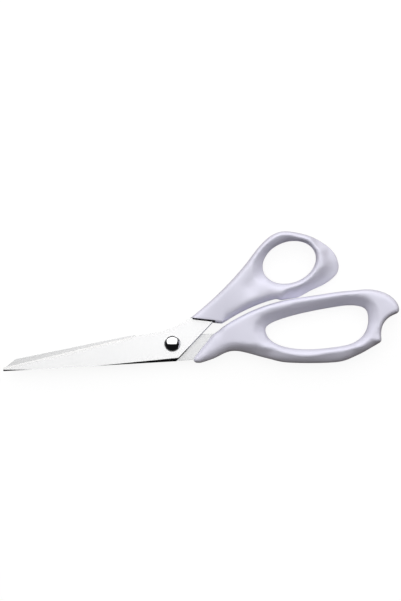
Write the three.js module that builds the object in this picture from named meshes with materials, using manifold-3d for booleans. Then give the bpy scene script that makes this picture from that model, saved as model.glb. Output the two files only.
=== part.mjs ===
// Multi-purpose scissors: two steel blades with moulded plastic handles on a domed pivot screw.
// Millimetres, +Z up. The scissors lie closed and flat on z = 0, with the pivot axis on Z through
// the origin, the points towards -X and the handles towards +X.

import * as THREE from 'three';
import { ConvexHull } from 'three/addons/math/ConvexHull.js';
import { mergeVertices } from 'three/addons/utils/BufferGeometryUtils.js';
import Module from 'manifold-3d';

// Both blades
const BLADE_THICKNESS = 2;
const BLADE_LENGTH = 90; // pivot axis to the points
const EDGE_LENGTH = 70; // cutting edge, from the point
const EDGE_RISE = 6.8; // where the cutting edge ends, across from the pivot line
const EDGE_BEVEL_WIDTH = 0.8;
const EDGE_LAND = 0.25; // thickness left at the cutting edge
const RICASSO_LENGTH = 11; // unground stretch behind the cutting edge

// Front blade
const POINT_WIDTH = 1.8; // blunt end
const HEEL_DROP = 9.5; // spine below the pivot
const TAIL_OFFSET = 7.9; // pivot axis to the tail edge
const TAIL_ANGLE = 37.8; // degrees, direction of the tail edge
const HEEL_CHAMFER_LENGTH = 42; // along the spine, running out to nothing
const HEEL_CHAMFER_WIDTH = 1.8;
const POINT_CHAMFER_LENGTH = 15; // along the spine, running out to nothing
const POINT_CHAMFER_WIDTH = 0.8;
const TAIL_CHAMFER_WIDTH = 0.5;
const CHAMFER_ANGLE = 38; // degrees down from the face

// Rear blade
const REAR_POINT_LENGTH = 7; // angled point
const REAR_POINT_RISE = 4.3;
const REAR_POINT_WIDTH = 0.5;
const REAR_SPINE_RISE = 7.5; // spine above the pivot, at its step
const REAR_SPINE_STEP = 1.3; // step down to the part behind the front blade
const REAR_STEP_PLACE = 0.6; // behind the end of the cutting edge
const REAR_HEEL = [0, -10.2]; // corner below the pivot, before rounding
const REAR_NECK = [5, 4]; // corner where the spine turns down to the tang, before rounding

// Tangs and their pockets in the handles
const TANG_LENGTH = 26;
const TANG_WIDTH = 7.4;
const TANG_END_WIDTH = 5;
const TANG_CLEARANCE = 0.3;
const KEY_HOLE_DIAMETER = 3.4; // hole in each tang that the moulding locks through
const KEY_HOLE_PLACE = 15; // from the shoulder along the tang
const SHOULDER_DEPTH = 1.2; // how far the blade's full width reaches into the handle's nose
const THUMB_TANG_ANGLE = 28;
const FINGER_TANG_ANGLE = 6;

// Pivot
const AXLE_DIAMETER = 5;
const AXLE_FLATS = 4.2; // across the two flats that key the screw in the rear blade
const BORE_CLEARANCE = 0.08; // radial
const THREAD_DIAMETER = 3.6;
const THREAD_TIP_GAP = 0.4; // screw end to the nut's floor
const HEAD_DIAMETER = 8.5;
const HEAD_HEIGHT = 2.6;
const HEAD_RIM = 0.4; // straight rim under the dome
const THRUST_WASHER_THICKNESS = 0.3; // also the gap between the blades
const THRUST_WASHER_DIAMETER = 11;
const SPRING_WASHER_DIAMETER = 9.6;
const SPRING_WASHER_THICKNESS = 0.5;
const SPRING_WASHER_CONE = 0.35;
const NUT_DIAMETER = 10.4;
const NUT_CHAMFER = 0.5;
const NUT_FLOOR = 1.1; // solid back of the nut
const NUT_KEY_DIAMETER = 1.5;
const NUT_KEY_DEPTH = 0.8;
const NUT_KEY_SPACING = 6.4;

// Both handles
const HANDLE_DEPTH = 6.5; // middle plane to the backs
const NOSE_DEPTH = 4; // the same where the blade enters
const FRONT_FULLNESS = 1.2; // how many times further the fronts rise from the middle plane
const NOSE_TAPER_LENGTH = 24;
const PARTING_Y = 13.5; // straight top of the finger handle
const LUG_GAP = 0.3; // stop lug to finger handle when closed
const HANDLE_GAP = 2; // between the two stems
const STEM_SWEEP_X = 66; // where the finger stem's upper edge leaves the straight
const STEM_SWEEP_POWER = 2;
const CREST_BLEND = 1.8; // rounding of the crest between two flanks
const LIP_SHARE = 0.22; // share of a flank's height in its rounded lip
const LIP_WIDTH = 0.9;

// Thumb handle
const THUMB_NOSE_UPPER = [10, 11];
const THUMB_NOSE_LOWER = [27.3, 6.3];
const THUMB_NOSE_FLANK = 1.3;
const THUMB_STEM_BOW = 2; // hollow of the stem's upper edge
const THUMB_STEM_UPPER_FLANK = 2.2;
const THUMB_STEM_LOWER_FLANK = 5;
const THUMB_STEM_FORM = 0.35; // form of the lower flank
const THUMB_HOLE_X = 67.3;
const THUMB_HOLE_LENGTH = 29.1;
const THUMB_HOLE_WIDTH = 21.7;
const THUMB_HOLE_TILT = 12;
const THUMB_LOWER_WALL = 8; // stop lug's face to the hole
const LUG_LEAD = 7.8; // stop lug's start ahead of the hole's middle
const LUG_LENGTH = 9.4;
const LUG_RAMP = 1.5; // slope down from the stem to the lug
const LUG_FLANK = 5.6;
const LUG_FORM = 1.8;

// Stations round a ring: degrees round the hole, width of the wall, width and form of the flank on
// its outside. A form of 0 is rounded, 1 straight and 2 hollow.
const THUMB_RING = [
  [-75, 7.5, 5.6, 1.4],
  [-50, 10.2, 8.2, 1.6],
  [-30, 12.7, 10.7, 1.8],
  [-11, 10.1, 8.1, 2],
  [10, 6, 4, 1.6],
  [42, 4, 2, 0.4],
  [78, 5.4, 1.9, 0],
  [100, 6, 1.9, 0],
  [128, 5.6, 1.8, 0],
];

// Flanks inside a hole: degrees round it, width and form.
const THUMB_HOLE_FLANKS = [
  [0, 1.6, 0],
  [45, 1.9, 0.5],
  [90, 3.4, 1],
  [135, 4.2, 1],
  [165, 5.5, 1],
  [185, 6.5, 1],
  [210, 4, 0.3],
  [270, 2.2, 0],
  [320, 1.7, 0],
];

// Finger handle
const FINGER_NOSE_UPPER = [21.4, 1.3];
const FINGER_NOSE_LOWER = [9, -10.1];
const FINGER_NOSE_TIP = 1.8; // length of the nose's end that is rounded off
const FINGER_NOSE_FLANK = 5;
const FINGER_JAW = [7.8, -12.4]; // corner below the nose, before rounding
const FINGER_CHIN = [13.5, -12.3];
const FINGER_THROAT = [20, -11.2];
const FINGER_WAIST = [31.5, -8.7];
const FINGER_STEM_FLANK = 4.6; // along its lower edge
const FINGER_STEM_FORM = 0.7;
const FINGER_TOP_FLANK = 1.8;
const FINGER_HOLE_X = 88.1; // where the loop is widest
const FINGER_HOLE_LEFT = 38.8;
const FINGER_HOLE_RIGHT = 15.9;
const FINGER_HOLE_TOP = 6.05;
const FINGER_HOLE_BOTTOM = 15;
const FINGER_HOLE_POWER = 2.3; // squareness of the loop
const FINGER_HOLE_TILT = 0.6;
const FINGER_UPPER_WALL = 7.4;
const FINGER_RING = [
  [-153, 9.1, 6.6, 0.8],
  [-131, 7.6, 5.8, 1],
  [-95, 7.8, 5.8, 1],
  [-75, 6.7, 5, 1],
  [-51, 7.5, 5, 0.8],
];
const FINGER_HOLE_FLANKS = [
  [0, 5.5, 0.8],
  [40, 6.2, 1],
  [90, 5.6, 1],
  [130, 5.6, 1],
  [150, 7, 1],
  [172, 8, 1],
  [190, 5.5, 0.7],
  [215, 3.2, 0.3],
  [270, 2.4, 0.2],
  [315, 3.6, 0.4],
];
const BROW_LEAD = 3; // where the top starts to round down to the beak, ahead of the loop's end
const BROW_DROP = 0.6; // fall of the top up to there
const BROW_FLANK = 3;
const BEAK_REACH = 16.7; // loop's end to the beak's tip
const BEAK_Y = -1.2;
const BEAK_TIP = 1.8; // height of the blunt tip
const BEAK_FLANK = 2.2;
const NOTCH_REACH = 5; // loop's end to the notch's lower corner
const NOTCH_Y = -15.5; // that corner
const NOTCH_HOLLOW = 0.6; // how far the notch is drawn in behind that corner
const NOTCH_BEND = 0.89; // share of the notch's height where it bends out to the beak

// Facets
const OUTLINE_STEP = 1.7;
const FLANK_ROWS = 8; // odd ones only where a flank is wide
const FLANK_STEP = 2.2; // widest step between rows without an odd one
const FILL_STEP = 3;
const POINT_GAP = 0.6; // least distance between points, as a share of the step there
const CREST_GAP = 0.62; // the same along a crest
const ROW_KEEP = 0.9; // least share of its distance that a row keeps from the whole edge
const MITRE_LIMIT = 2; // longest mitre of a row at a sharp corner, in row distances
const CIRCLE_STEPS = 48;
const DOME_STEPS = 9;
const TIE_BREAK = 1e-5; // keeps four points off one circle

// Heights of the stack
const MID_Z = HANDLE_DEPTH;
const FRONT_Z = MID_Z + THRUST_WASHER_THICKNESS / 2;
const FRONT_FACE_Z = FRONT_Z + BLADE_THICKNESS;
const REAR_Z = MID_Z - THRUST_WASHER_THICKNESS / 2 - BLADE_THICKNESS;
const REAR_FACE_Z = REAR_Z + BLADE_THICKNESS;
const NUT_TOP_Z = REAR_Z - SPRING_WASHER_THICKNESS - SPRING_WASHER_CONE;

// Bores for the pivot screw
const axleBore = AXLE_DIAMETER + 2 * BORE_CLEARANCE;
const threadBore = THREAD_DIAMETER + 4 * BORE_CLEARANCE;

const wasm = await Module();
wasm.setup();

// Plane geometry

const radians = THREE.MathUtils.degToRad;
const point = (x, y) => new THREE.Vector2(x, y);
const along = (degrees) => point(Math.cos(radians(degrees)), Math.sin(radians(degrees)));
const leftOf = (direction) => point(-direction.y, direction.x);
const step = (start, direction, distance) => start.clone().addScaledVector(direction, distance);

function lineMeet(a, directionA, b, directionB) {
  const distance = b.clone().sub(a).cross(directionB) / directionA.cross(directionB);
  return step(a, directionA, distance);
}

function distanceToLoop(loop, p) {
  let nearest = Infinity;
  for (let i = 0; i < loop.length; i += 1) {
    const a = loop[i];
    const edge = loop[(i + 1) % loop.length].clone().sub(a);
    const away = p.clone().sub(a);
    const t = THREE.MathUtils.clamp(away.dot(edge) / edge.lengthSq(), 0, 1);
    nearest = Math.min(nearest, away.addScaledVector(edge, -t).length());
  }
  return nearest;
}

function isInside(loop, p) {
  let inside = false;
  for (let i = 0; i < loop.length; i += 1) {
    const a = loop[i];
    const b = loop[(i + 1) % loop.length];
    const crosses = (a.y > p.y) !== (b.y > p.y);
    if (crosses && p.x < a.x + ((b.x - a.x) * (p.y - a.y)) / (b.y - a.y)) inside = !inside;
  }
  return inside;
}

// Evenly spaced points along a chain of curves that closes on itself.
function sampleLoop(curves) {
  return curves.flatMap((curve) => {
    const steps = Math.max(1, Math.round(curve.getLength() / OUTLINE_STEP));
    return curve.getSpacedPoints(steps).slice(0, -1);
  });
}

// Delaunay triangles of plane points: the lower faces of the hull of the points on a paraboloid.
function triangulate(points) {
  const centre = new THREE.Box2().setFromPoints(points).getCenter(point(0, 0));
  const lifted = points.map((p, i) => {
    const x = p.x - centre.x + TIE_BREAK * Math.sin(i);
    const y = p.y - centre.y + TIE_BREAK * Math.cos(i * i);
    return new THREE.Vector3(x, y, x * x + y * y);
  });
  const order = new Map(lifted.map((p, i) => [p, i]));
  const hull = new ConvexHull().setFromPoints(lifted);
  return hull.faces.filter((face) => face.normal.z < 0).map(({ edge }) => (
    [edge.next.next, edge.next, edge].map((side) => order.get(side.head().point))
  ));
}

// Solids

function solidOf(geometry) {
  const bare = geometry.clone();
  bare.deleteAttribute('normal');
  bare.deleteAttribute('uv');
  const { attributes, index } = mergeVertices(bare);
  return new wasm.Manifold(new wasm.Mesh({
    numProp: 3,
    vertProperties: new Float32Array(attributes.position.array),
    triVerts: new Uint32Array(index.array),
  }));
}

function geometryOf(solid) {
  const mesh = solid.getMesh();
  const geometry = new THREE.BufferGeometry();
  geometry.setAttribute('position', new THREE.BufferAttribute(new Float32Array(mesh.vertProperties), 3));
  geometry.setIndex([...mesh.triVerts]);
  return geometry;
}

function prism(shape, bottom, top) {
  const geometry = new THREE.ExtrudeGeometry(shape, {
    depth: top - bottom,
    bevelEnabled: false,
    curveSegments: CIRCLE_STEPS / 2,
  });
  return solidOf(geometry.translate(0, 0, bottom));
}

function disc(diameter, centre = point(0, 0)) {
  return new THREE.Shape().absarc(centre.x, centre.y, diameter / 2, 0, Math.PI * 2);
}

// A round turned on the Z axis, from [radius, height] corners that run anticlockwise.
function turned(corners) {
  const profile = [...corners, corners[0]].map(([radius, height]) => point(radius, height));
  return solidOf(new THREE.LatheGeometry(profile, CIRCLE_STEPS).rotateX(Math.PI / 2));
}

// The wedge that a grinding wheel takes off: from a line on the face, which runs on past both its
// ends, it slopes into the blade towards the right. Side 1 grinds an upper face, side -1 a lower one.
function grinding([a, b], [before, after], faceZ, slope, side) {
  const direction = b.clone().sub(a).normalize();
  const right = leftOf(direction).negate();
  const reach = BLADE_THICKNESS * 2;
  const section = new THREE.Shape([
    point(0, 0),
    point(reach, -reach * Math.tan(slope)),
    point(reach, BLADE_THICKNESS),
    point(0, BLADE_THICKNESS),
  ]);
  const wedge = new THREE.ExtrudeGeometry(section, {
    depth: a.distanceTo(b) + before + after,
    bevelEnabled: false,
  });
  const start = side > 0 ? step(b, direction, after) : step(a, direction, -before);
  const basis = new THREE.Matrix4().makeBasis(
    new THREE.Vector3(right.x, right.y, 0),
    new THREE.Vector3(0, 0, side),
    new THREE.Vector3(direction.x, direction.y, 0).multiplyScalar(-side),
  );
  return solidOf(wedge.applyMatrix4(basis.setPosition(start.x, start.y, faceZ)));
}

// Tangs

// A tang's axis starts at the blade's shoulder, inside the middle of its handle's nose.
function makeTang(noseLower, noseUpper, degrees) {
  const direction = along(degrees);
  const width = noseLower.distanceTo(noseUpper);
  const nose = noseUpper.clone().sub(noseLower).divideScalar(width);
  const depth = SHOULDER_DEPTH / Math.abs(nose.cross(direction));
  const root = step(noseLower.clone().lerp(noseUpper, 0.5), direction, depth);
  return { direction, nose, width, root, depth };
}

// The four corners of a tang, grown on every side, from its right root to its left root.
function tangCorners(tang, grow) {
  const left = leftOf(tang.direction);
  const end = step(tang.root, tang.direction, TANG_LENGTH + grow);
  const rootReach = (TANG_WIDTH / 2 + grow) / tang.nose.dot(left);
  const endReach = TANG_END_WIDTH / 2 + grow;
  return [
    step(tang.root, tang.nose, -rootReach),
    step(end, left, -endReach),
    step(end, left, endReach),
    step(tang.root, tang.nose, rootReach),
  ];
}

function keyHole(tang, clearance) {
  return disc(KEY_HOLE_DIAMETER - 2 * clearance, step(tang.root, tang.direction, KEY_HOLE_PLACE));
}

// The room that a moulding leaves: a slot across its nose for the blade's shoulder and a pocket for
// the tang, less the peg that locks it.
function pocket(tang, bladeZ) {
  const bottom = bladeZ - TANG_CLEARANCE;
  const top = bladeZ + BLADE_THICKNESS + TANG_CLEARANCE;
  const inwards = leftOf(tang.nose).negate();
  const slotEnd = step(tang.root, inwards, TANG_CLEARANCE);
  const slotMouth = step(tang.root, inwards, -tang.width);
  const slot = new THREE.Shape([
    step(slotMouth, tang.nose, -tang.width),
    step(slotEnd, tang.nose, -tang.width),
    step(slotEnd, tang.nose, tang.width),
    step(slotMouth, tang.nose, tang.width),
  ]);
  const room = new THREE.Shape(tangCorners(tang, TANG_CLEARANCE));
  const peg = prism(keyHole(tang, TANG_CLEARANCE), bottom, top);
  return prism(slot, bottom, top).add(prism(room, bottom, top)).subtract(peg);
}

const thumbNose = { lower: point(...THUMB_NOSE_LOWER), upper: point(...THUMB_NOSE_UPPER) };
const fingerNose = { lower: point(...FINGER_NOSE_LOWER), upper: point(...FINGER_NOSE_UPPER) };
const thumbTang = makeTang(thumbNose.lower, thumbNose.upper, THUMB_TANG_ANGLE);
const fingerTang = makeTang(fingerNose.lower, fingerNose.upper, FINGER_TANG_ANGLE);

// Blades

const edgeEndX = EDGE_LENGTH - BLADE_LENGTH;
const ricassoEndX = edgeEndX + RICASSO_LENGTH;
const bevelSlope = Math.atan((BLADE_THICKNESS - EDGE_LAND) / EDGE_BEVEL_WIDTH);

function frontBlade() {
  const pointTop = point(-BLADE_LENGTH, POINT_WIDTH / 2);
  const pointBottom = point(-BLADE_LENGTH, -POINT_WIDTH / 2);
  const edgeEnd = point(edgeEndX, EDGE_RISE);
  const spine = point(0, -HEEL_DROP).sub(pointBottom).normalize();
  const tail = along(TAIL_ANGLE);
  const tailFoot = leftOf(tail).multiplyScalar(-TAIL_OFFSET);
  const heel = lineMeet(pointBottom, spine, tailFoot, tail);
  const shoulderTail = lineMeet(tailFoot, tail, thumbTang.root, thumbTang.nose);
  const shoulderTop = step(thumbNose.upper, thumbTang.direction, thumbTang.depth);

  const outline = new THREE.Shape([
    pointBottom,
    heel,
    shoulderTail,
    ...tangCorners(thumbTang, 0),
    shoulderTop,
  ]);
  outline.quadraticCurveTo(0, EDGE_RISE, ricassoEndX, EDGE_RISE);
  outline.lineTo(edgeEnd.x, edgeEnd.y);
  outline.lineTo(pointTop.x, pointTop.y);
  outline.holes.push(disc(axleBore), keyHole(thumbTang, 0));

  const edge = pointTop.clone().sub(edgeEnd).normalize();
  const bevelInset = leftOf(edge).multiplyScalar(EDGE_BEVEL_WIDTH);
  const bevelLine = [edgeEnd.clone().add(bevelInset), pointTop.clone().add(bevelInset)];
  const pointLine = [
    step(pointBottom, leftOf(spine), POINT_CHAMFER_WIDTH),
    step(pointBottom, spine, POINT_CHAMFER_LENGTH),
  ];
  const heelLine = [step(heel, spine, -HEEL_CHAMFER_LENGTH), step(heel, leftOf(spine), HEEL_CHAMFER_WIDTH)];
  const tailInset = leftOf(tail).multiplyScalar(TAIL_CHAMFER_WIDTH);
  const tailLine = [heel.clone().add(tailInset), shoulderTail.clone().add(tailInset)];
  const chamferSlope = radians(CHAMFER_ANGLE);
  return prism(outline, FRONT_Z, FRONT_FACE_Z)
    .subtract(grinding(bevelLine, [0, POINT_WIDTH], FRONT_FACE_Z, bevelSlope, 1))
    .subtract(grinding(pointLine, [POINT_WIDTH, 0], FRONT_FACE_Z, chamferSlope, 1))
    .subtract(grinding(heelLine, [0, TAIL_OFFSET], FRONT_FACE_Z, chamferSlope, 1))
    .subtract(grinding(tailLine, [TAIL_OFFSET, 0], FRONT_FACE_Z, chamferSlope, 1));
}

function rearBlade() {
  const tip = point(-BLADE_LENGTH, REAR_POINT_WIDTH / 2);
  const edgeStart = point(-BLADE_LENGTH, -REAR_POINT_WIDTH / 2);
  const edgeEnd = point(edgeEndX, -EDGE_RISE);
  const shoulderLower = step(fingerNose.lower, fingerTang.direction, fingerTang.depth);
  const shoulderUpper = step(fingerNose.upper, fingerTang.direction, fingerTang.depth);
  const lowSpine = REAR_SPINE_RISE - REAR_SPINE_STEP;
  const stepX = edgeEndX + REAR_STEP_PLACE;

  const outline = new THREE.Shape([edgeStart, edgeEnd, point(ricassoEndX, -EDGE_RISE)]);
  outline.quadraticCurveTo(...REAR_HEEL, shoulderLower.x, shoulderLower.y);
  for (const corner of [...tangCorners(fingerTang, 0), shoulderUpper]) outline.lineTo(corner.x, corner.y);
  outline.quadraticCurveTo(...REAR_NECK, ricassoEndX, lowSpine);
  outline.lineTo(stepX + REAR_SPINE_STEP, lowSpine);
  outline.lineTo(stepX, REAR_SPINE_RISE);
  outline.lineTo(-BLADE_LENGTH + REAR_POINT_LENGTH, REAR_POINT_RISE);
  outline.lineTo(tip.x, tip.y);
  outline.holes.push(keyHole(fingerTang, 0));

  const edge = edgeEnd.clone().sub(edgeStart).normalize();
  const bevelInset = leftOf(edge).multiplyScalar(EDGE_BEVEL_WIDTH);
  const bevelLine = [edgeStart.clone().add(bevelInset), edgeEnd.clone().add(bevelInset)];
  const bore = flatted(axleBore, AXLE_FLATS + 2 * BORE_CLEARANCE, REAR_Z, REAR_FACE_Z);
  return prism(outline, REAR_Z, REAR_FACE_Z)
    .subtract(grinding(bevelLine, [POINT_WIDTH, 0], REAR_Z, bevelSlope, -1))
    .subtract(bore);
}

// Pivot

// A round bar with two flats.
function flatted(diameter, acrossFlats, bottom, top) {
  const half = acrossFlats / 2;
  const block = new THREE.Shape([
    point(-diameter, -half), point(diameter, -half), point(diameter, half), point(-diameter, half),
  ]);
  return prism(disc(diameter), bottom, top).intersect(prism(block, bottom, top));
}

function pivotScrew() {
  const headRadius = HEAD_DIAMETER / 2;
  const domeHeight = HEAD_HEIGHT - HEAD_RIM;
  const sphere = (headRadius ** 2 + domeHeight ** 2) / (2 * domeHeight);
  const sweep = Math.asin(headRadius / sphere);
  const dome = [];
  for (let i = 0; i < DOME_STEPS; i += 1) {
    const angle = sweep * (1 - i / DOME_STEPS);
    dome.push([sphere * Math.sin(angle), FRONT_FACE_Z + HEAD_HEIGHT - sphere * (1 - Math.cos(angle))]);
  }
  dome.push([0, FRONT_FACE_Z + HEAD_HEIGHT]);
  const head = turned([[0, FRONT_FACE_Z], [headRadius, FRONT_FACE_Z], ...dome]);
  const axle = prism(disc(AXLE_DIAMETER), REAR_FACE_Z, FRONT_FACE_Z + HEAD_RIM);
  const key = flatted(AXLE_DIAMETER, AXLE_FLATS, REAR_Z, FRONT_Z);
  const thread = prism(disc(THREAD_DIAMETER), NUT_FLOOR + THREAD_TIP_GAP, FRONT_Z);
  return head.add(axle).add(key).add(thread);
}

function washer(diameter, bore, bottom, thickness, cone) {
  const inner = bore / 2;
  const outer = diameter / 2;
  return turned([
    [inner, bottom + cone],
    [outer, bottom],
    [outer, bottom + thickness],
    [inner, bottom + thickness + cone],
  ]);
}

function pivotNut() {
  const radius = NUT_DIAMETER / 2;
  const bore = THREAD_DIAMETER / 2 + BORE_CLEARANCE;
  const body = turned([
    [0, 0],
    [radius - NUT_CHAMFER, 0],
    [radius, NUT_CHAMFER],
    [radius, NUT_TOP_Z],
    [bore, NUT_TOP_Z],
    [bore, NUT_FLOOR],
    [0, NUT_FLOOR],
  ]);
  const keys = [-1, 1].map((side) => (
    prism(disc(NUT_KEY_DIAMETER, point(0, side * NUT_KEY_SPACING / 2)), -NUT_KEY_DEPTH, NUT_KEY_DEPTH)
  ));
  return body.subtract(keys[0]).subtract(keys[1]);
}

// Handles

// A hole is an oval whose four quarters share one squareness.
function holePoint(hole, degrees) {
  const { x: c, y: s } = along(degrees);
  const across = (c > 0 ? hole.right : hole.left) * Math.sign(c) * Math.abs(c) ** (2 / hole.power);
  const up = (s > 0 ? hole.top : hole.bottom) * Math.sign(s) * Math.abs(s) ** (2 / hole.power);
  return point(across, up).rotateAround(point(0, 0), radians(hole.tilt)).add(hole.centre);
}

// A point of the ring, a wall's width straight out from the hole.
function ringPoint(hole, degrees, wall) {
  const tangent = holePoint(hole, degrees + 1).sub(holePoint(hole, degrees - 1)).normalize();
  return step(holePoint(hole, degrees), leftOf(tangent), -wall);
}

function holeLoop(hole) {
  const circle = [...Array(361).keys()].map((degrees) => holePoint(hole, degrees));
  return sampleLoop([new THREE.SplineCurve(circle)]);
}

// Upper edge of the finger stem, which the thumb stem follows at a gap.
function partingY(x) {
  const share = Math.max(0, STEM_SWEEP_X - x) / (STEM_SWEEP_X - FINGER_NOSE_UPPER[0]);
  return PARTING_Y - (PARTING_Y - FINGER_NOSE_UPPER[1]) * share ** STEM_SWEEP_POWER;
}

// Height of a flank at a distance from its edge, as a share of the crest's.
function flankShare(distance, { width, form }) {
  const round = (t) => Math.sqrt(1 - (1 - Math.min(t, 1)) ** 2);
  const t = Math.min(distance / width, 1);
  const lip = LIP_SHARE * round(distance / Math.min(LIP_WIDTH, width));
  const straight = lip + (1 - LIP_SHARE) * t;
  const hollow = lip + (1 - LIP_SHARE) * t * t;
  if (form < 1) return THREE.MathUtils.lerp(round(t), straight, form);
  return THREE.MathUtils.lerp(straight, hollow, form - 1);
}

// Width and form of a flank at a place, weighed by the distance to each station.
function weighFlank(stations, p) {
  const flank = { width: 0, form: 0 };
  let total = 0;
  for (const { at, width, form } of stations) {
    const weight = 1 / (at.distanceToSquared(p) + LIP_WIDTH) ** 2;
    total += weight;
    flank.width += weight * width;
    flank.form += weight * form;
  }
  flank.width /= total;
  flank.form /= total;
  return flank;
}

// The flanks on both sides of a place. Where a wall is too thin for both, they narrow to meet.
function flanksAt(plan, p) {
  const toOutline = distanceToLoop(plan.outline, p);
  const toHole = distanceToLoop(plan.hole, p);
  const outer = weighFlank(plan.outerStations, p);
  const inner = weighFlank(plan.innerStations, p);
  const fit = Math.min(1, (toOutline + toHole) / (outer.width + inner.width));
  outer.width *= fit;
  inner.width *= fit;
  return { toOutline, toHole, outer, inner };
}

// How far the moulding reaches behind the middle plane at a place: a crest between the two flanks.
function depthAt(plan, p) {
  const { toOutline, toHole, outer, inner } = flanksAt(plan, p);
  const middle = plan.nose.lower.clone().lerp(plan.nose.upper, 0.5);
  const fromNose = p.clone().sub(middle).dot(plan.tang.direction);
  const taper = THREE.MathUtils.smoothstep(fromNose, 0, NOSE_TAPER_LENGTH);
  const crest = THREE.MathUtils.lerp(NOSE_DEPTH, HANDLE_DEPTH, taper) + CREST_BLEND / 4;
  const fall = crest * flankShare(toOutline, outer);
  const rise = crest * flankShare(toHole, inner);
  const blend = Math.max(CREST_BLEND - Math.abs(fall - rise), 0) / CREST_BLEND;
  return Math.min(fall, rise) - blend * blend * CREST_BLEND / 4;
}

// Rows of points along a flank, closer together at its steep edge. Side 1 runs inwards from an
// outline, side -1 outwards from a hole.
function flankRows(plan, loop, side) {
  const widths = loop.map((p) => flanksAt(plan, p)[side > 0 ? 'outer' : 'inner'].width);
  const mitres = loop.map((p, i) => {
    const before = leftOf(p.clone().sub(loop.at(i - 1)).normalize());
    const after = leftOf(loop[(i + 1) % loop.length].clone().sub(p).normalize());
    const middle = before.clone().add(after).normalize();
    return middle.multiplyScalar(side * Math.min(1 / middle.dot(before), MITRE_LIMIT));
  });
  const rowShare = (row) => 1 - Math.cos((row / FLANK_ROWS) * Math.PI / 2);
  const rows = [];
  for (let row = 1; row <= FLANK_ROWS; row += 1) {
    loop.forEach((p, i) => {
      const distance = rowShare(row) * widths[i];
      const rowGap = distance - rowShare(row - 1) * widths[i];
      const isSpare = row % 2 === 1 && (rowShare(row + 1) - rowShare(row - 1)) * widths[i] < FLANK_STEP;
      const at = step(p, mitres[i], distance);
      if (isSpare || distanceToLoop(loop, at) < ROW_KEEP * distance) return;
      const spacing = POINT_GAP * Math.min(rowGap, OUTLINE_STEP / 2);
      rows.push({ at, distance, spacing, isCrest: row === FLANK_ROWS });
    });
  }
  return rows;
}

// Adds the rows of all flanks, the ones nearest to their edges first, so that a narrow flank stays
// whole and the wide one beyond it gives way. A crest gets one row, not one from either side.
function addFlanks(plan, points) {
  const rows = [...flankRows(plan, plan.outline, 1), ...flankRows(plan, plan.hole, -1)];
  rows.sort((a, b) => a.distance - b.distance);
  const crest = [];
  for (const { at, spacing, isCrest } of rows) {
    const isFree = points.every((q) => q.distanceTo(at) > spacing);
    const isDouble = isCrest && crest.some((q) => q.distanceTo(at) < CREST_GAP * OUTLINE_STEP);
    if (isFree && !isDouble) {
      points.push(at);
      if (isCrest) crest.push(at);
    }
  }
}

// Fills what the flanks leave with a triangular pattern of points.
function addFill(plan, points) {
  const box = new THREE.Box2().setFromPoints(plan.outline);
  const rowStep = FILL_STEP * Math.sin(Math.PI / 3);
  const rows = Math.ceil((box.max.y - box.min.y) / rowStep);
  const columns = Math.ceil((box.max.x - box.min.x) / FILL_STEP);
  for (let row = 0; row < rows; row += 1) {
    for (let column = 0; column < columns; column += 1) {
      const x = box.min.x + (column + (row % 2) / 2) * FILL_STEP;
      const candidate = point(x, box.min.y + row * rowStep);
      const isFree = isInside(plan.outline, candidate)
        && !isInside(plan.hole, candidate)
        && points.every((q) => q.distanceTo(candidate) > POINT_GAP * FILL_STEP);
      if (isFree) points.push(candidate);
    }
  }
}

// The moulding: one surface behind the middle plane and a fuller mirror of it in front, less the
// tang's pocket.
function moulding(plan, bladeZ) {
  const rimLength = plan.outline.length + plan.hole.length;
  const points = [...plan.outline, ...plan.hole];
  addFlanks(plan, points);
  addFill(plan, points);

  const triangles = triangulate(points).filter((corners) => {
    const centre = corners.reduce((sum, i) => sum.add(points[i]), point(0, 0)).divideScalar(3);
    const isRaised = corners.some((i) => i >= rimLength);
    return isRaised && isInside(plan.outline, centre) && !isInside(plan.hole, centre);
  });
  const depths = points.map((p, i) => (i < rimLength ? 0 : depthAt(plan, p)));
  const positions = [];
  for (const corners of triangles) {
    for (const i of corners) positions.push(points[i].x, points[i].y, MID_Z + FRONT_FULLNESS * depths[i]);
    for (const i of corners.toReversed()) positions.push(points[i].x, points[i].y, MID_Z - depths[i]);
  }
  const geometry = new THREE.BufferGeometry();
  geometry.setAttribute('position', new THREE.Float32BufferAttribute(positions, 3));
  return solidOf(geometry).subtract(pocket(plan.tang, bladeZ));
}

const station = (at, width, form = 0) => ({ at, width, form });
const holeStations = (hole, flanks) => flanks.map(([degrees, width, form]) => (
  station(holePoint(hole, degrees), width, form)
));
const ringStations = (hole, ring) => ring.map(([degrees, wall, width, form]) => (
  station(ringPoint(hole, degrees, wall), width, form)
));
const noseStations = (nose, width, form) => [0, 0.5, 1].map((share) => (
  station(nose.lower.clone().lerp(nose.upper, share), width, form)
));
const placeOf = ({ at }) => at;

// Equal shares of a stretch, up to its end.
const shares = (count) => [...Array(count).keys()].map((i) => (i + 1) / count);

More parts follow.
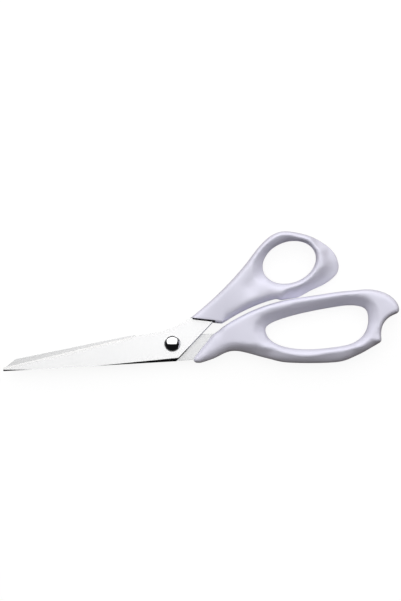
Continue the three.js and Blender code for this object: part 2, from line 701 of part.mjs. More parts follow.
function thumbHandle() {
  const tilt = radians(THUMB_HOLE_TILT);
  const holeHeight = Math.hypot(THUMB_HOLE_LENGTH * Math.sin(tilt), THUMB_HOLE_WIDTH * Math.cos(tilt));
  const lugY = PARTING_Y + LUG_GAP;
  const hole = {
    centre: point(THUMB_HOLE_X, lugY + THUMB_LOWER_WALL + holeHeight / 2),
    left: THUMB_HOLE_LENGTH / 2,
    right: THUMB_HOLE_LENGTH / 2,
    top: THUMB_HOLE_WIDTH / 2,
    bottom: THUMB_HOLE_WIDTH / 2,
    power: 2,
    tilt: THUMB_HOLE_TILT,
  };
  const lugLeft = point(THUMB_HOLE_X - LUG_LEAD, lugY);
  const lugRight = point(lugLeft.x + LUG_LENGTH, lugY);
  const ring = ringStations(hole, THUMB_RING);

  const stemFoot = ring.at(-1).at;
  const stemAxis = thumbNose.upper.clone().sub(stemFoot);
  const stemSide = leftOf(stemAxis.clone().normalize());
  const upperStem = shares(4).slice(0, -1).map((share) => {
    const bow = THUMB_STEM_BOW * 4 * share * (1 - share);
    return station(step(step(stemFoot, stemAxis, share), stemSide, bow), THUMB_STEM_UPPER_FLANK);
  });
  const lowerStem = shares(5).map((share) => {
    const x = THREE.MathUtils.lerp(thumbNose.lower.x, lugLeft.x - LUG_RAMP, share);
    return station(point(x, partingY(x) + HANDLE_GAP), THUMB_STEM_LOWER_FLANK, THUMB_STEM_FORM);
  });

  return moulding({
    outline: sampleLoop([
      new THREE.LineCurve(thumbNose.upper, thumbNose.lower),
      new THREE.SplineCurve([thumbNose.lower, ...lowerStem.map(placeOf)]),
      new THREE.LineCurve(lowerStem.at(-1).at, lugLeft),
      new THREE.LineCurve(lugLeft, lugRight),
      new THREE.SplineCurve([lugRight, ...ring.map(placeOf), ...upperStem.map(placeOf), thumbNose.upper]),
    ]),
    hole: holeLoop(hole),
    outerStations: [
      ...noseStations(thumbNose, THUMB_NOSE_FLANK, 1),
      ...lowerStem,
      station(lugLeft.clone().lerp(lugRight, 0.5), LUG_FLANK, LUG_FORM),
      ...ring,
      ...upperStem,
    ],
    innerStations: holeStations(hole, THUMB_HOLE_FLANKS),
    nose: thumbNose,
    tang: thumbTang,
  }, FRONT_Z);
}

function fingerHandle() {
  const hole = {
    centre: point(FINGER_HOLE_X, PARTING_Y - FINGER_UPPER_WALL - FINGER_HOLE_TOP),
    left: FINGER_HOLE_LEFT,
    right: FINGER_HOLE_RIGHT,
    top: FINGER_HOLE_TOP,
    bottom: FINGER_HOLE_BOTTOM,
    power: FINGER_HOLE_POWER,
    tilt: FINGER_HOLE_TILT,
  };
  const loopEndX = FINGER_HOLE_X + FINGER_HOLE_RIGHT;
  const ring = ringStations(hole, FINGER_RING);
  const noseTip = step(fingerNose.lower, fingerTang.nose, FINGER_NOSE_TIP);
  const chin = point(...FINGER_CHIN);
  const lowerStem = [FINGER_THROAT, FINGER_WAIST].map((place) => (
    station(point(...place), FINGER_STEM_FLANK, FINGER_STEM_FORM)
  ));

  const notchLower = point(loopEndX + NOTCH_REACH, NOTCH_Y);
  const beakX = loopEndX + BEAK_REACH;
  const beakLower = point(beakX - BEAK_TIP / 2, BEAK_Y - BEAK_TIP / 2);
  const beakUpper = point(beakX, BEAK_Y + BEAK_TIP / 2);
  const notchBend = point(
    notchLower.x - NOTCH_HOLLOW,
    THREE.MathUtils.lerp(NOTCH_Y, beakLower.y, NOTCH_BEND),
  );
  const browTop = point(loopEndX - BROW_LEAD, PARTING_Y - BROW_DROP);
  const brow = new THREE.EllipseCurve(
    browTop.x,
    beakUpper.y,
    beakX - browTop.x,
    browTop.y - beakUpper.y,
    0,
    Math.PI / 2,
  );
  const top = shares(8).slice(0, -1).map((share) => {
    const x = THREE.MathUtils.lerp(browTop.x, fingerNose.upper.x, share);
    return station(point(x, partingY(x)), FINGER_TOP_FLANK);
  });

  return moulding({
    outline: sampleLoop([
      new THREE.LineCurve(fingerNose.upper, noseTip),
      new THREE.QuadraticBezierCurve(noseTip, point(...FINGER_JAW), chin),
      new THREE.SplineCurve([
        chin,
        ...lowerStem.map(placeOf),
        ...ring.map(placeOf),
        notchLower,
      ]),
      new THREE.QuadraticBezierCurve(notchLower, notchBend, beakLower),
      new THREE.QuadraticBezierCurve(beakLower, point(beakX, beakLower.y), beakUpper),
      brow,
      new THREE.SplineCurve([browTop, ...top.map(placeOf), fingerNose.upper]),
    ]),
    hole: holeLoop(hole),
    outerStations: [
      ...noseStations(fingerNose, FINGER_NOSE_FLANK, 0),
      ...lowerStem,
      ...ring,
      station(notchLower, BEAK_FLANK),
      station(notchBend, BEAK_FLANK),
      station(beakLower, BEAK_FLANK),
      station(brow.getPoint(0.5), BROW_FLANK),
      station(browTop, FINGER_TOP_FLANK),
      ...top,
    ],
    innerStations: holeStations(hole, FINGER_HOLE_FLANKS),
    nose: fingerNose,
    tang: fingerTang,
  }, REAR_Z);
}

// Assembly

const steel = { color: 0xd9dadc, metalness: 1, roughness: 0.22 };
const polished = { color: 0xdedfe1, metalness: 1, roughness: 0.06 };
const bronze = { color: 0xb08a50, metalness: 1, roughness: 0.35 };
const plastic = { color: 0xdcdbe8, metalness: 0, roughness: 0.38 };

const thrustWasher = [THRUST_WASHER_DIAMETER, axleBore, REAR_FACE_Z, THRUST_WASHER_THICKNESS, 0];
const springWasher = [
  SPRING_WASHER_DIAMETER,
  threadBore,
  NUT_TOP_Z,
  SPRING_WASHER_THICKNESS,
  SPRING_WASHER_CONE,
];
const pieces = [
  ['front_blade', frontBlade(), steel],
  ['rear_blade', rearBlade(), steel],
  ['thumb_handle', thumbHandle(), plastic],
  ['finger_handle', fingerHandle(), plastic],
  ['pivot_screw', pivotScrew(), polished],
  ['thrust_washer', washer(...thrustWasher), bronze],
  ['spring_washer', washer(...springWasher), steel],
  ['pivot_nut', pivotNut(), steel],
];

const scissors = new THREE.Group();
for (const [name, solid, finish] of pieces) {
  const geometry = geometryOf(solid);
  geometry.computeVertexNormals();
  const mesh = new THREE.Mesh(geometry, new THREE.MeshStandardMaterial(finish));
  mesh.name = name;
  scissors.add(mesh);
}

export default scissors;
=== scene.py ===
# %% [markdown]
# # Multi-purpose scissors
# This lesson dresses a pair of scissors that a CAD program has already laid out: two steel blades,
# two moulded handles and a pivot. The CAD solids are exact but faceted. Blender keeps their places
# and sizes, gives them the soft and ground surfaces of the real thing, and lights them like a
# catalogue picture. Everything is in metres, with the pivot axis on Z through the origin.

# %% Load the frame
import math

import bmesh
import bpy
from mathutils import Matrix, Vector
from mathutils.geometry import intersect_point_line


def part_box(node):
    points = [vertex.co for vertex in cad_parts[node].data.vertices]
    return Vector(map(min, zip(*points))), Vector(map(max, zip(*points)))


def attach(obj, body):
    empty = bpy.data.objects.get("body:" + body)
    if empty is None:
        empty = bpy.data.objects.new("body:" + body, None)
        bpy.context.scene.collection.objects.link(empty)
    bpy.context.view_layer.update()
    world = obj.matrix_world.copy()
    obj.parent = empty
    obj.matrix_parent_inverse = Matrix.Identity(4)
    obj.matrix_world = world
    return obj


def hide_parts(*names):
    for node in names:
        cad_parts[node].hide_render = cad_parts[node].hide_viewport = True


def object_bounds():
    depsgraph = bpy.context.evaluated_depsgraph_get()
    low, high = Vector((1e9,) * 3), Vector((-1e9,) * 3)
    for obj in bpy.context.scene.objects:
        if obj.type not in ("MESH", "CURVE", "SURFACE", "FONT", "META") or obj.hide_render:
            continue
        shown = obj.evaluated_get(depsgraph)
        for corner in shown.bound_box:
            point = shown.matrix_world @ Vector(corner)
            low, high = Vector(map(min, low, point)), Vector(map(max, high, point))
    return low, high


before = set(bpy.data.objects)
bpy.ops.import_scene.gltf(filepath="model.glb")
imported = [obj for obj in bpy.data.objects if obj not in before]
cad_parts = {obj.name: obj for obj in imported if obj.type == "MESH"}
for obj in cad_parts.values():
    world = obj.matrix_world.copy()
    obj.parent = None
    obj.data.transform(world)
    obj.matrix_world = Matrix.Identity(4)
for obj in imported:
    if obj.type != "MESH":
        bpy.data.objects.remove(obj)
cad_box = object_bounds()
MM = 0.001
print("nodes:", ", ".join(sorted(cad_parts)))
print("box in mm:", [[round(v / MM, 1) for v in corner] for corner in cad_box])

# %% [markdown]
# ## Shader maths
# A material in Blender is a web of nodes. Written out node by node, even a short formula takes a
# page, so one small class wraps a node's output. Plus, minus, times and divide on it add Math
# nodes, and `make` adds any other node: its settings go first, because they decide which sockets
# it has.

# %% A wrapper for node outputs
class Field:
    """The output of a node, which can be used in Python expressions."""

    def __init__(self, tree, socket):
        self.tree = tree
        self.socket = socket

    def make(self, kind, settings, inputs, output=0):
        node = self.tree.nodes.new(kind)
        for name, value in settings.items():
            setattr(node, name, value)
        for name, value in inputs.items():
            if isinstance(value, Field):
                self.tree.links.new(value.socket, node.inputs[name])
            else:
                node.inputs[name].default_value = value
        return Field(self.tree, node.outputs[output])

    def maths(self, operation, *values):
        return self.make("ShaderNodeMath", {"operation": operation}, dict(enumerate(values)))

    def __add__(self, other):
        return self.maths("ADD", self, other)

    def __radd__(self, other):
        return self.maths("ADD", other, self)

    def __sub__(self, other):
        return self.maths("SUBTRACT", self, other)

    def __rsub__(self, other):
        return self.maths("SUBTRACT", other, self)

    def __mul__(self, other):
        return self.maths("MULTIPLY", self, other)

    def __rmul__(self, other):
        return self.maths("MULTIPLY", other, self)

    def __truediv__(self, other):
        return self.maths("DIVIDE", self, other)

    def __rtruediv__(self, other):
        return self.maths("DIVIDE", other, self)


# %% [markdown]
# ## Starting a finish
# Every finish here starts from the Principled shader. What is the same all over is set straight on
# its sockets, and what changes over the surface is fed in afterwards. Patterns read Object
# coordinates, so they keep their size in metres and stay put when a blade swings. The Mix node has
# sockets of the same name for every type of data, so those for colours are picked by number.

# %% Helpers that every finish uses
MIX_SHARE = 0
MIX_FIRST = 6
MIX_SECOND = 7
MIX_RESULT = 2


def start_finish(name, constants):
    """A new material, its shader and a field with the place on the object."""
    material = bpy.data.materials.new(name)
    material.use_nodes = True
    tree = material.node_tree
    shader = tree.nodes["Principled BSDF"]
    for socket, value in constants.items():
        shader.inputs[socket].default_value = value
    place = Field(tree, tree.nodes.new("ShaderNodeTexCoord").outputs["Object"])
    return material, shader, place


def feed(shader, **fields):
    """Links fields to the shader's sockets, named with underscores for spaces."""
    for name, field in fields.items():
        field.tree.links.new(field.socket, shader.inputs[name.replace("_", " ")])


def grain(place, size, stretch=(1, 1, 1), turn=0.0, detail=2.0):
    """Noise from 0 to 1 with grains of about a size in metres, stretched along the axes."""
    mapped = place.make(
        "ShaderNodeMapping",
        {"vector_type": "TEXTURE"},
        {"Vector": place, "Rotation": (0, 0, turn), "Scale": [size * s for s in stretch]},
    )
    return place.make("ShaderNodeTexNoise", {}, {"Vector": mapped, "Scale": 1, "Detail": detail})


def blend_colours(share, first, second):
    """One colour or field to another as a share goes from 0 to 1."""
    first, second = [c if isinstance(c, Field) else (*c, 1) for c in (first, second)]
    return share.make(
        "ShaderNodeMix",
        {"data_type": "RGBA"},
        {MIX_SHARE: share, MIX_FIRST: first, MIX_SECOND: second},
        output=MIX_RESULT,
    )


def bumped(height, distance):
    """A normal from a height field whose full range stands for a distance in metres."""
    return height.make(
        "ShaderNodeBump",
        {},
        {"Height": height, "Distance": distance, "Strength": 1.0},
    )


# %% [markdown]
# ## Ground steel
# The blades are stamped from sheet and then ground. A grinding wheel leaves fine lines straight
# across a blade, far thinner than anything the camera resolves, so on the real thing they only show
# as a satin sheen that wavers a little. Long thin noise gives both: it shifts the roughness and
# tips the surface by a few thousandths of a millimetre. Satin steel also scatters part of the
# light, so its shader is only partly Metallic: seen from the side, the blades stay grey and don't
# just mirror the dark surroundings. The chamfers are ground on a finer wheel and mirror more.
# Towards the points the steel is painted a little darker: painted shade for the light falling off.
# The cutting edge is touched up on a coarse stone, so it scatters light like frost and mirrors
# nothing: that is the shader's plain diffuse side, without Metallic and without a highlight.

# %% Blade finishes
BLADE_REACH = 90 * MM
SATIN = {"Metallic": 0.65, "IOR": 1.5}
MIRROR = {"Metallic": 1.0, "IOR": 2.5}
FROST = {"Metallic": 0.0, "Specular IOR Level": 0.0}
LINE_WIDTH = 0.12 * MM
LINE_STRETCH = 60
LINE_HEIGHT = 0.002 * MM
STEEL_CLOUD = 14 * MM


def ground_steel(name, constants, colour, roughness, line_turn, painted_point_shade=0.1):
    material, shader, place = start_finish(name, constants)
    lines = grain(place, LINE_WIDTH, stretch=(1, LINE_STRETCH, LINE_STRETCH), turn=line_turn)
    clouds = grain(place, STEEL_CLOUD)
    to_point = place.make("ShaderNodeSeparateXYZ", {}, {"Vector": place}, output="X") / -BLADE_REACH
    # The tone carries the grinding lines and clouds, plus painted shade that darkens the colour
    # towards the point.
    base_tone = 0.7 + 0.3 * lines + 0.3 * clouds - 0.7 * to_point
    feed(
        shader,
        Base_Color=blend_colours(base_tone, [(1 - painted_point_shade) * c for c in colour], colour),
        Roughness=roughness + 0.08 * (lines - 0.5) + 0.06 * (clouds - 0.5),
        Normal=bumped(lines, LINE_HEIGHT),
    )
    return material


EDGE_TURN = math.radians(5)
# Both blades are painted darker towards their points as painted shade, and the rear blade more so.
satin_front = ground_steel("satin_front", SATIN, (0.68, 0.68, 0.683), 0.16, EDGE_TURN)
satin_rear = ground_steel("satin_rear", SATIN, (0.64, 0.642, 0.645), 0.24, -EDGE_TURN, painted_point_shade=0.25)
bright_bevel = ground_steel("bright_bevel", MIRROR, (0.45, 0.452, 0.456), 0.16, EDGE_TURN)
keen_edge = ground_steel("keen_edge", FROST, (0.88, 0.88, 0.88), 0.6, EDGE_TURN)
print("blade finishes:", satin_front.name, satin_rear.name, bright_bevel.name, keen_edge.name)

# %% [markdown]
# ## Copies of CAD solids
# A node of the frame has to stay as it is, but a copy of its mesh can be worked on. The copy's
# triangles are loose, so the doubles are merged first. Flat areas then lose their inner edges. On
# the blades, sharp edges get a small bevel: no real edge is perfectly sharp, and the bevel is what
# catches the light along it.

# %% Work on a merged copy
LEVEL = 0.99
KINK = math.radians(1)
SAME_PLANE = math.radians(0.5)
SAME_PLACE = 0.001 * MM


def add_piece(name, mesh, body, materials):
    """Puts a finished mesh into the scene, on a body of the frame."""
    obj = bpy.data.objects.new(name, mesh)
    bpy.context.scene.collection.objects.link(obj)
    for material in materials:
        mesh.materials.append(material)
    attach(obj, body)
    return obj


def merged_copy(node):
    bm = bmesh.new()
    bm.from_mesh(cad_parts[node].data)
    bmesh.ops.remove_doubles(bm, verts=bm.verts, dist=SAME_PLACE)
    for face in bm.faces:
        face.material_index = 0
    return bm


def bevel_sharp_edges(bm, width, least_angle):
    sharp = [e for e in bm.edges if len(e.link_faces) == 2 and e.calc_face_angle() > least_angle]
    bmesh.ops.bevel(
        bm,
        geom=sharp,
        offset=width,
        offset_type="OFFSET",
        affect="EDGES",
        segments=2,
        profile=0.5,
        material=-1,
        clamp_overlap=True,
    )
    return len(sharp)


def shade_by_angle(bm, angle, flat_above=1.0):
    """Shades smooth over gentle edges. Faces that point up more than a limit stay flat."""
    for face in bm.faces:
        face.smooth = True
    for edge in bm.edges:
        flat = any(abs(face.normal.z) > flat_above for face in edge.link_faces)
        edge.smooth = edge.calc_face_angle(math.pi) < (KINK if flat else angle)


def to_mesh(bm, name):
    mesh = bpy.data.meshes.new(name)
    bm.to_mesh(mesh)
    bm.free()
    return mesh


# %% [markdown]
# ## Blades
# The CAD blades already have their outline, bevels and chamfers. What they lack is the change of
# finish: the flat faces are satin, the chamfers were ground afterwards and are brighter, and the
# steep bevel of the cutting edge is frosted. A face's tilt tells them apart, so the tilt picks the
# material. Only upright walls are shaded smooth: ground faces are flat.

# %% Make both blades
SHARP = math.radians(20)
EDGE_BEVEL = 0.06 * MM
UPRIGHT = 0.1
STEEP = 0.5


def ground_blade(node, name, body, face_finish):
    bm = merged_copy(node)
    bmesh.ops.dissolve_limit(bm, angle_limit=SAME_PLANE, verts=bm.verts, edges=bm.edges)
    bevelled = bevel_sharp_edges(bm, EDGE_BEVEL, SHARP)
    bm.normal_update()
    finishes = [face_finish, bright_bevel, keen_edge]
    for face in bm.faces:
        tilt = abs(face.normal.z)
        if UPRIGHT < tilt < LEVEL:
            face.material_index = finishes.index(keen_edge if tilt < STEEP else bright_bevel)
    shade_by_angle(bm, SHARP, flat_above=UPRIGHT)
    piece = add_piece(name, to_mesh(bm, name), body, finishes)
    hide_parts(node)
    print(name, "bevelled edges:", bevelled, "faces:", len(piece.data.polygons))


ground_blade("front_blade", "front_blade_ground", "thumb_half", satin_front)
ground_blade("rear_blade", "rear_blade_ground", "finger_half", satin_rear)

# %% [markdown]
# ## Moulded plastic
# The handles are a pale lavender plastic, smooth but not polished. Its gloss is even, with a very
# fine skin from the mould and slight clouds where the colour was mixed in. At the thumb handle's
# nose, the gap where the plastic ends over the blade lies in shadow and shows as a dark line. It is
# under a millimetre wide, so it is painted shadow: a dark band in the colour, measured from a line
# across the nose. The finger handle has the same band of painted shade in nearly its own colour,
# because no such shadow line shows there.

# %% Handle finish
def in_metres(*points):
    return [Vector((x * MM, y * MM, 0)) for x, y in points]


THUMB_NOSE = in_metres((27.3, 6.3), (10, 11))
FINGER_NOSE = in_metres((9, -10.1), (21.4, 1.3))
# Painted shadow: a dark band in the colour at the thumb nose stands for the shadow in the gap
# between plastic and blade. The finger nose gets a faint one.
PAINTED_SHADE_FULL = 1.35 * MM
PAINTED_SHADE_GONE = 1.6 * MM
PAINTED_SHADE_START = 0.22
PAINTED_SHADE_FADE = 0.03
SEAM_SHADOW = (0.008, 0.008, 0.01)
FAINT_PAINTED_SHADE = (0.72, 0.71, 0.82)
LAVENDER = (0.74, 0.73, 0.84)
PALE_LAVENDER = (0.77, 0.76, 0.87)
PLASTIC_CLOUD = 22 * MM
SKIN_GRAIN = 0.25 * MM
SKIN_HEIGHT = 0.004 * MM


def measured_along(offset, direction):
    return offset.make(
        "ShaderNodeVectorMath",
        {"operation": "DOT_PRODUCT"},
        {0: offset, 1: direction},
        output="Value",
    )


def ramp(value, start, end):
    """From 0 at the start to 1 at the end, and level beyond them."""
    return value.make(
        "ShaderNodeMapRange",
        {},
        {"Value": value, "From Min": start, "From Max": end},
    )


def moulded_plastic(name, nose, painted_shade_colour):
    material, shader, place = start_finish(name, {"IOR": 1.49, "Specular IOR Level": 0.12})
    clouds = grain(place, PLASTIC_CLOUD)
    skin = grain(place, SKIN_GRAIN, detail=3.0)
    base_tone = blend_colours(clouds, LAVENDER, PALE_LAVENDER)

    span = nose[1] - nose[0]
    inwards = Vector((span.y, -span.x, 0)).normalized()
    offset = place.make("ShaderNodeVectorMath", {"operation": "SUBTRACT"}, {0: place, 1: nose[0]})
    depth = measured_along(offset, inwards)
    share = measured_along(offset, span / span.length_squared)
    # Mask of the painted shadow band: full within a set depth of the nose line, and only from a
    # share along the nose on.
    behind = ramp(depth, PAINTED_SHADE_FULL, PAINTED_SHADE_GONE)
    beside = ramp(share, PAINTED_SHADE_START, PAINTED_SHADE_START - PAINTED_SHADE_FADE)
    feed(
        shader,
        Base_Color=blend_colours(place.maths("MAXIMUM", behind, beside), painted_shade_colour, base_tone),
        Roughness=0.42 + 0.06 * (skin - 0.5) + 0.04 * (clouds - 0.5),
        Normal=bumped(skin, SKIN_HEIGHT),
    )
    return material


# The thumb handle gets dark painted shadow at its nose, and the finger handle faint painted shade.
thumb_plastic = moulded_plastic("thumb_plastic", THUMB_NOSE, SEAM_SHADOW)
finger_plastic = moulded_plastic("finger_plastic", FINGER_NOSE, FAINT_PAINTED_SHADE)
print("handle finishes:", thumb_plastic.name, finger_plastic.name)

# %% [markdown]
# ## Hollows
# The handles' fronts have shallow hollows where thumb and fingers lie, and a low ridge along the
# thumb stem, all of about a millimetre or less. That is finer than the CAD flanks, so it is pressed
# into the handle's skin: each vertex near a trail sinks by a cosine of its distance, which begins
# and ends level. Only the front is pressed, down to the parting plane of the mould. A hollow is a
# trail with its reach and depth.

# %% Trails of the hollows
PARTING = 6.5 * MM
FRONT_FADE = 2.0 * MM

RING_SCOOP = in_metres((45, 23.5), (51, 29.5))
RING_FLARE = in_metres((68, 14), (85, 19), (91, 24))
STEM_RIDGE = in_metres((33.5, 10.5), (44, 15.5), (61, 16.5))
STEM_RIM = in_metres((34, 8), (44, 12), (55, 15))
LOOP_WAIST = in_metres((37, -9.5), (48, -13))
LOWER_BAR = in_metres((51, -11.5), (70.5, -17.5), (81, -18), (92, -17))
LOOP_HEEL = in_metres((99, -13.5), (105, -11))
LOOP_TOP = in_metres((51.5, 3.5), (70, 6.5), (95.5, 6), (101.5, 3.5))

THUMB_HOLLOWS = [
    (RING_SCOOP, 6 * MM, 1.1 * MM),
    (RING_FLARE, 8 * MM, 1.0 * MM),
    (STEM_RIDGE, 4 * MM, -0.6 * MM),
    (STEM_RIM, 4 * MM, 0.7 * MM),
]
FINGER_HOLLOWS = [
    (LOOP_WAIST, 5 * MM, 0.7 * MM),
    (LOWER_BAR, 4 * MM, 0.9 * MM),
    (LOOP_HEEL, 5 * MM, 0.7 * MM),
    (LOOP_TOP, 5.5 * MM, 1.0 * MM),
]


def distance(place, start, end):
    """From a place to the stretch between two points, seen from above."""
    flat = Vector((place.x, place.y, 0))
    share = min(max(intersect_point_line(flat, start, end)[1], 0), 1)
    return (flat - start.lerp(end, share)).length


def press(piece, trail, reach, depth):
    """Presses a soft hollow into the front along a trail. A negative depth raises a ridge."""
    for vertex in piece.data.vertices:
        front = min(max((vertex.co.z - PARTING) / FRONT_FADE, 0), 1)
        away = min(distance(vertex.co, *pair) for pair in zip(trail, trail[1:]))
        if away < reach:
            vertex.co.z -= depth * front * (1 + math.cos(math.pi * away / reach)) / 2


print("hollows: thumb handle", len(THUMB_HOLLOWS), "and finger handle", len(FINGER_HOLLOWS))

# %% [markdown]
# ## Handles
# A moulded handle has no flat facets at all: every flank runs softly into the next. Subdividing the
# CAD triangles would keep their pattern, so the copy is first covered with an even skin by the
# Remesh modifier, and that skin is then relaxed, which levels the facets. Relaxing draws a rounded
# edge in by a fraction of a millimetre, so the copy is swollen by about as much beforehand. The end
# where the blade enters is left crisper, by a vertex group that fades the relaxing there.

# %% Soften the handles
SKIN = 0.4 * MM
SWELL = 0.15 * MM
RELAX_STEPS = 44
RELAX_FACTOR = 0.5
NOSE_SOFTNESS = 0.25
CRISP_REACH = 0.8 * MM
SOFT_REACH = 3.0 * MM


def bake_modifiers(obj):
    """Makes what the modifiers give the object's own mesh."""
    graph = bpy.context.evaluated_depsgraph_get()
    mesh = bpy.data.meshes.new_from_object(obj.evaluated_get(graph))
    obj.modifiers.clear()
    obj.data = mesh


def softness(place, nose):
    """Least at the end where the blade enters, 1 a few millimetres from it."""
    t = min(max((distance(place, *nose) - CRISP_REACH) / (SOFT_REACH - CRISP_REACH), 0), 1)
    return NOSE_SOFTNESS + (1 - NOSE_SOFTNESS) * t * t * (3 - 2 * t)


def soft_handle(node, name, body, nose, plastic, hollows):
    piece = add_piece(name, to_mesh(merged_copy(node), name), body, [plastic])
    swell = piece.modifiers.new("swell", "DISPLACE")
    swell.strength = SWELL
    swell.mid_level = 0
    skin = piece.modifiers.new("skin", "REMESH")
    skin.mode = "VOXEL"
    skin.voxel_size = SKIN
    bake_modifiers(piece)
    for hollow in hollows:
        press(piece, *hollow)

    group = piece.vertex_groups.new(name="soft")
    for vertex in piece.data.vertices:
        group.add([vertex.index], softness(vertex.co, nose), "REPLACE")
    relax = piece.modifiers.new("relax", "SMOOTH")
    relax.factor = RELAX_FACTOR
    relax.iterations = RELAX_STEPS
    relax.vertex_group = group.name
    for polygon in piece.data.polygons:
        polygon.use_smooth = True
    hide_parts(node)
    print(name, "faces:", len(piece.data.polygons))


soft_handle(
    "thumb_handle",
    "thumb_handle_moulded",
    "thumb_half",
    THUMB_NOSE,
    thumb_plastic,
    THUMB_HOLLOWS,
)
soft_handle(
    "finger_handle",
    "finger_handle_moulded",
    "finger_half",
    FINGER_NOSE,
    finger_plastic,
    FINGER_HOLLOWS,
)

# %% [markdown]
# ## Pivot hardware
# The screw's dome is polished like a mirror, so its facets would show at once. It is turned afresh:
# half of its outline, spun round the axis. The nut and the washers are simple rounds that sit
# almost out of sight, so merged copies do for them. A lathe leaves fine rings on such parts. The
# thin washer between the blades is bronze, which runs well on steel.

# %% Pivot finishes
RING_STEP = 0.18 * MM
RING_HEIGHT = 0.003 * MM


def polished_steel():
    material, shader, place = start_finish("polished_steel", MIRROR)
    haze = grain(place, 1.5 * MM)
    feed(
        shader,
        Base_Color=blend_colours(haze, (0.80, 0.80, 0.81), (0.84, 0.84, 0.85)),
        Roughness=0.05 + 0.03 * haze,
    )
    return material


def turned_metal(name, colour, roughness):
    """Fine rings round the pivot axis, as a lathe leaves them."""
    material, shader, place = start_finish(name, MIRROR)
    vector_maths = "ShaderNodeVectorMath"
    across = place.make(vector_maths, {"operation": "MULTIPLY"}, {0: place, 1: (1, 1, 0)})
    radius = place.make(vector_maths, {"operation": "LENGTH"}, {0: across}, output="Value")
    rings = place.maths("SINE", radius * (2 * math.pi / RING_STEP))
    patches = grain(place, 2.5 * MM)
    feed(
        shader,
        Base_Color=blend_colours(patches, [0.92 * c for c in colour], colour),
        Roughness=roughness + 0.05 * rings + 0.08 * (patches - 0.5),
        Normal=bumped(rings, RING_HEIGHT),
    )
    return material


polished = polished_steel()
turned_steel = turned_metal("turned_steel", (0.72, 0.73, 0.74), 0.3)
bronze = turned_metal("bronze", (0.66, 0.50, 0.28), 0.35)
print("pivot finishes:", polished.name, turned_steel.name, bronze.name)

# %% Turn the pivot screw
SPIN_STEPS = 96
DOME_STEPS = 20
HEAD_RIM = 0.4 * MM
AXLE_RADIUS = 2.5 * MM
THREAD_RADIUS = 1.8 * MM
TIP_CHAMFER = 0.3 * MM
SAME_SPUN_PLACE = 0.0005 * MM
ROUND = math.radians(30)


def turned_screw():
    low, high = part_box("pivot_screw")
    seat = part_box("front_blade")[1].z
    thread_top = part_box("rear_blade")[0].z
    radius = (high.x - low.x) / 2
    dome = high.z - seat - HEAD_RIM
    sphere = (radius ** 2 + dome ** 2) / (2 * dome)
    sweep = math.asin(radius / sphere)

    outline = [
        (0, low.z),
        (THREAD_RADIUS - TIP_CHAMFER, low.z),
        (THREAD_RADIUS, low.z + TIP_CHAMFER),
        (THREAD_RADIUS, thread_top),
        (AXLE_RADIUS, thread_top),
        (AXLE_RADIUS, seat),
        (radius, seat),
    ]
    for i in range(DOME_STEPS + 1):
        angle = sweep * (1 - i / DOME_STEPS)
        outline.append((sphere * math.sin(angle), high.z - sphere * (1 - math.cos(angle))))

    bm = bmesh.new()
    verts = [bm.verts.new((r, 0, z)) for r, z in outline]
    edges = [bm.edges.new(pair) for pair in zip(verts, verts[1:])]
    bmesh.ops.spin(
        bm,
        geom=verts + edges,
        axis=(0, 0, 1),
        cent=(0, 0, 0),
        angle=2 * math.pi,
        steps=SPIN_STEPS,
        use_merge=True,
    )
    bmesh.ops.remove_doubles(bm, verts=bm.verts, dist=SAME_SPUN_PLACE)
    bmesh.ops.recalc_face_normals(bm, faces=bm.faces)
    shade_by_angle(bm, ROUND)
    name = "pivot_screw_turned"
    piece = add_piece(name, to_mesh(bm, name), "finger_half", [polished])
    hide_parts("pivot_screw")
    print("screw: dome radius", round(sphere / MM, 2), "mm, faces:", len(piece.data.polygons))


turned_screw()

# %% Nut and washers
def round_part(node, name, finish):
    bm = merged_copy(node)
    bmesh.ops.dissolve_limit(bm, angle_limit=SAME_PLANE, verts=bm.verts, edges=bm.edges)
    shade_by_angle(bm, ROUND, flat_above=LEVEL)
    piece = add_piece(name, to_mesh(bm, name), "finger_half", [finish])
    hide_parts(node)
    print(name, "faces:", len(piece.data.polygons))


round_part("pivot_nut", "pivot_nut_turned", turned_steel)
round_part("spring_washer", "spring_washer_turned", turned_steel)
round_part("thrust_washer", "thrust_washer_turned", bronze)

# %% [markdown]
# ## Camera
# The photograph looks straight down on the scissors, which lie a little turned in the frame. A long
# lens keeps the handles and the blades at one scale. The place of the pivot in the picture and the
# size of a pixel then fix where the camera stands.

# %% Set up the camera
IMAGE_WIDTH = 401
IMAGE_HEIGHT = 601
PIXEL = 0.526 * MM
PIVOT_PIXEL = (171.9, 343.0)
BLADE_TURN = math.radians(8.72)
CAMERA_DISTANCE = 1.5
SENSOR = 36.0

image_right = Vector((math.cos(BLADE_TURN), -math.sin(BLADE_TURN), 0))
image_up = Vector((math.sin(BLADE_TURN), math.cos(BLADE_TURN), 0))
middle = Vector((0, 0, (cad_box[0][2] + cad_box[1][2]) / 2))
right_of_pivot = ((IMAGE_WIDTH - 1) / 2 - PIVOT_PIXEL[0]) * PIXEL
above_pivot = (PIVOT_PIXEL[1] - (IMAGE_HEIGHT - 1) / 2) * PIXEL
aim = middle + right_of_pivot * image_right + above_pivot * image_up

camera_data = bpy.data.cameras.new("camera")
camera_data.sensor_width = SENSOR
camera_data.lens = SENSOR * CAMERA_DISTANCE / (IMAGE_HEIGHT * PIXEL)
camera = bpy.data.objects.new("camera", camera_data)
camera.location = aim + Vector((0, 0, CAMERA_DISTANCE))
camera.rotation_euler = (0, 0, -BLADE_TURN)
bpy.context.scene.collection.objects.link(camera)
bpy.context.scene.camera = camera
print("camera aims at", [round(v / MM, 1) for v in aim], "lens", round(camera_data.lens, 1))

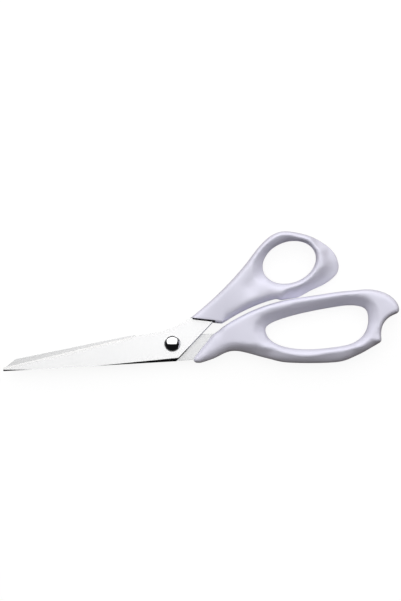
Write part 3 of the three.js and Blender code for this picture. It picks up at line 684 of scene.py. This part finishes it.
# %% [markdown]
# ## Floor and light
# A catalogue picture of this kind is lit by one wide window of light beyond the top of the picture
# and over the object, with dark surroundings. The blades mirror the window and look white, every
# face that slopes the other way goes dark, and the dome shows the window's outline. The floor is
# pale to the camera, but gives back little light, as if it ended just outside the picture. So the
# undersides of the handles keep their depth, and the rim of the dome stays black.

# %% Floor and surroundings
FLOOR_FINISH = {"Roughness": 0.9, "Emission Strength": 0.9}
FLOOR_SEEN = (0.12, 0.12, 0.12)
FLOOR_MIRRORED = (0.06, 0.06, 0.06)
FLOOR_BOUNCE = (0.33, 0.29, 0.26)
FLOOR_SIZE = 4
FLOOR_GAP = 0.02 * MM
DARK_ROOM = (0.008, 0.008, 0.009)
PALE_BACKDROP = (0.9, 0.9, 0.9)


def pale_floor():
    material, shader, place = start_finish("pale_floor", FLOOR_FINISH)
    rays = place.tree.nodes.new("ShaderNodeLightPath")
    seen = Field(place.tree, rays.outputs["Is Camera Ray"])
    mirrored = Field(place.tree, rays.outputs["Is Glossy Ray"])
    hidden = blend_colours(mirrored, FLOOR_BOUNCE, FLOOR_MIRRORED)
    feed(
        shader,
        Base_Color=blend_colours(seen, hidden, FLOOR_SEEN),
        Emission_Color=blend_colours(seen, (0, 0, 0), (1, 1, 1)),
    )
    return material


bm = bmesh.new()
bmesh.ops.create_grid(bm, x_segments=1, y_segments=1, size=FLOOR_SIZE)
bmesh.ops.translate(bm, verts=bm.verts, vec=(0, 0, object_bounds()[0][2] - FLOOR_GAP))
floor = bpy.data.objects.new("floor", to_mesh(bm, "floor"))
floor.data.materials.append(pale_floor())
bpy.context.scene.collection.objects.link(floor)

world = bpy.data.worlds.new("surroundings")
world.use_nodes = True
bpy.context.scene.world = world
sky = world.node_tree.nodes["Background"]
rays = world.node_tree.nodes.new("ShaderNodeLightPath")
seen = Field(world.node_tree, rays.outputs["Is Camera Ray"])
backdrop = blend_colours(seen, DARK_ROOM, PALE_BACKDROP)
world.node_tree.links.new(backdrop.socket, sky.inputs["Color"])
print("floor at", round(floor.data.vertices[0].co.z / MM, 2), "mm")

# %% The window
WINDOW_DISTANCE = 0.8
WINDOW_NEAR = math.radians(-7)
WINDOW_FAR = math.radians(80)
WINDOW_LEFT = math.radians(65)
WINDOW_RIGHT = math.radians(56)
WINDOW_RADIANCE = 1.76

lean = (WINDOW_NEAR + WINDOW_FAR) / 2
towards = math.cos(lean) * Vector((0, 0, 1)) + math.sin(lean) * image_up
left_reach = WINDOW_DISTANCE * math.tan(WINDOW_LEFT)
right_reach = WINDOW_DISTANCE * math.tan(WINDOW_RIGHT)
window_data = bpy.data.lights.new("window", "AREA")
window_data.shape = "RECTANGLE"
window_data.size = left_reach + right_reach
window_data.size_y = 2 * WINDOW_DISTANCE * math.tan((WINDOW_FAR - WINDOW_NEAR) / 2)
window_data.energy = WINDOW_RADIANCE * math.pi * window_data.size * window_data.size_y
window = bpy.data.objects.new("window", window_data)
window.location = aim + WINDOW_DISTANCE * towards + (right_reach - left_reach) / 2 * image_right
facing = Matrix((image_right, towards.cross(image_right), towards)).transposed()
window.rotation_euler = facing.to_euler()
window.visible_camera = False
bpy.context.scene.collection.objects.link(window)
print("window:", round(window_data.size, 2), "x", round(window_data.size_y, 2), "m")

# %% [markdown]
# ## Colours
# The colours should come out as they were chosen, so the view transform is Standard.

# %% Finish
bpy.context.scene.view_settings.view_transform = "Standard"
